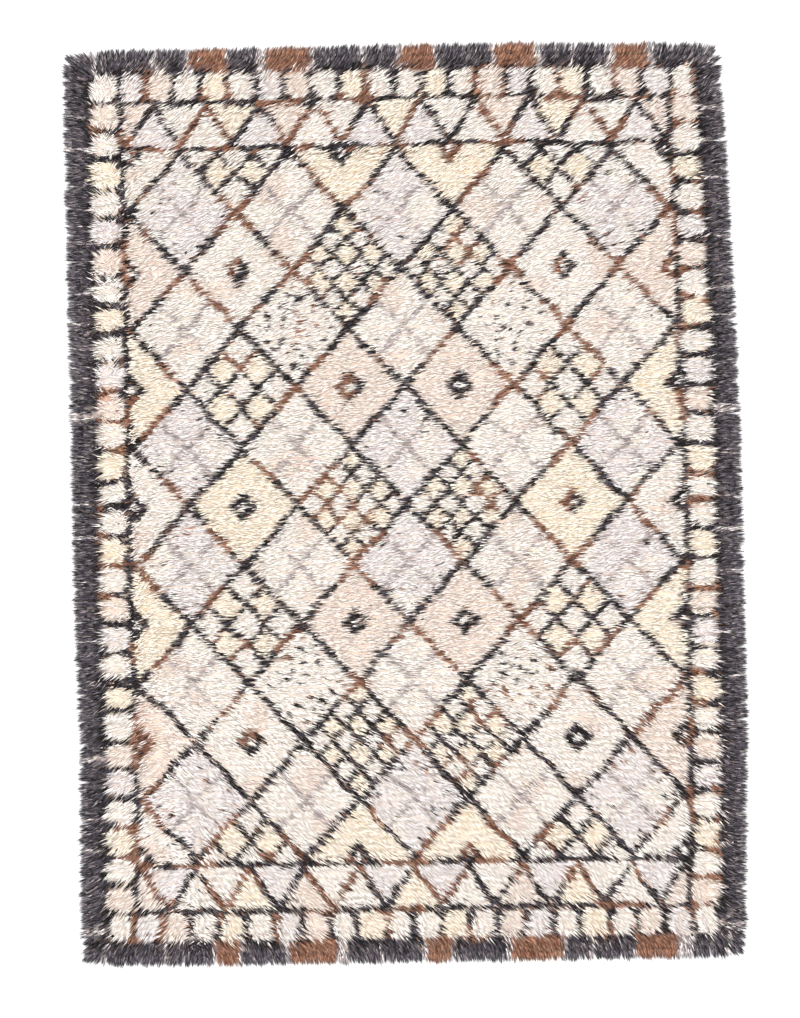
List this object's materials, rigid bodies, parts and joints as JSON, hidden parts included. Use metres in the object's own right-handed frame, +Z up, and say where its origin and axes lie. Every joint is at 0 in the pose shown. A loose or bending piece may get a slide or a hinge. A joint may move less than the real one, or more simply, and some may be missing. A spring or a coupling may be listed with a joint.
{
  "type": "shaggy hand-knotted floor rug",
  "caption": "Rectangular shaggy floor rug lying flat, with long cream pile, a broken dark lattice, a dark border and loose locks of yarn standing out all round its rim.",
  "frame": {"origin": "centre of the rug's rectangle in plan, on the flat underside that lies on the floor", "axes": "+Y runs along the rug's length, +X across its width, +Z up out of the pile"},
  "size_m": [1.4134, 1.9318, 0.0231],
  "materials": {
    "pile": "long cut wool pile in cream, ivory, pale grey and pinkish beige, with charcoal and brown yarns in the pattern",
    "ground_weave": "plain woven wool and linen back, undyed"
  },
  "bodies": {
    "root": {"rug": "pile"}
  },
  "joints": []
}
